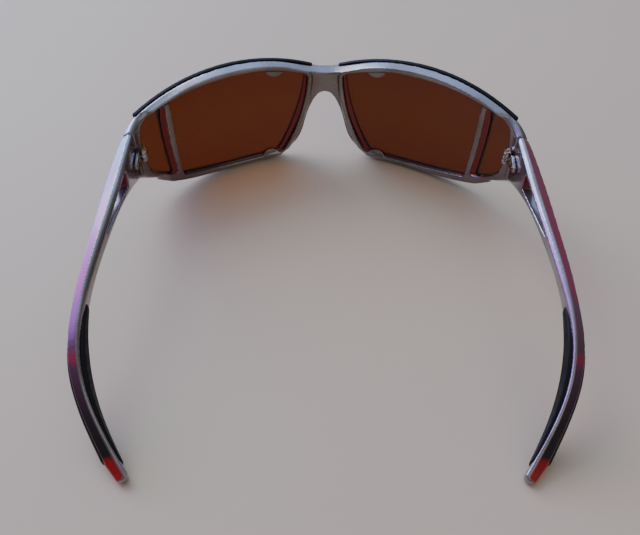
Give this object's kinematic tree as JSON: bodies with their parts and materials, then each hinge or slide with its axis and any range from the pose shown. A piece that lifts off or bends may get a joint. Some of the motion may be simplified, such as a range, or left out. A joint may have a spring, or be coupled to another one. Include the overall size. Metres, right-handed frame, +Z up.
{
  "type": "wraparound sport sunglasses",
  "caption": "Wraparound sport sunglasses with a spherical two-tone front, brown lenses with small side lenses, soft brow strips and folding temples with rubber pads.",
  "frame": {"origin": "on the surface the glasses stand on, below the middle of their bounding box", "axes": "+Z up, the front faces -Y, the temples run towards +Y, +X is the wearer's left"},
  "size_m": [0.1546, 0.1535, 0.0457],
  "materials": {
    "frame_paint": "pearl silver paint inside and on top, metallic red paint outside",
    "temple_paint": "pearl silver paint inside, metallic red paint on the outer facet",
    "lens": "polished brown tinted polycarbonate",
    "soft_trim": "matt black soft plastic",
    "pad_rubber": "satin black rubber",
    "hinge_metal": "satin stamped steel",
    "screw_metal": "satin"
  },
  "bodies": {
    "front": {"front_frame": "frame_paint", "lens_main_left": "lens", "lens_main_right": "lens", "lens_side_left": "lens", "lens_side_right": "lens", "brow_strip_left": "soft_trim", "brow_strip_right": "soft_trim", "hinge_front_leaf_left": "hinge_metal", "hinge_front_leaf_right": "hinge_metal", "hinge_front_pins_left": "hinge_metal", "hinge_front_pins_right": "hinge_metal", "hinge_screw_left": "screw_metal", "hinge_screw_right": "screw_metal"},
    "temple_left": {"temple_left": "temple_paint", "temple_inner_pad_left": "pad_rubber", "temple_outer_grip_left": "pad_rubber", "hinge_temple_leaf_left": "hinge_metal", "hinge_temple_rivets_left": "screw_metal"},
    "temple_right": {"temple_right": "temple_paint", "temple_inner_pad_right": "pad_rubber", "temple_outer_grip_right": "pad_rubber", "hinge_temple_leaf_right": "hinge_metal", "hinge_temple_rivets_right": "screw_metal"}
  },
  "joints": [
    {"name": "temple_left_fold", "type": "hinge", "parent": "front", "child": "temple_left", "pos_m": [0.0665, -0.0358, 0.0274], "axis": [0, 0, 1], "range_deg": [0, 90]},
    {"name": "temple_right_fold", "type": "hinge", "parent": "front", "child": "temple_right", "pos_m": [-0.0665, -0.0358, 0.0274], "axis": [0, 0, -1], "range_deg": [0, 82]}
  ]
}
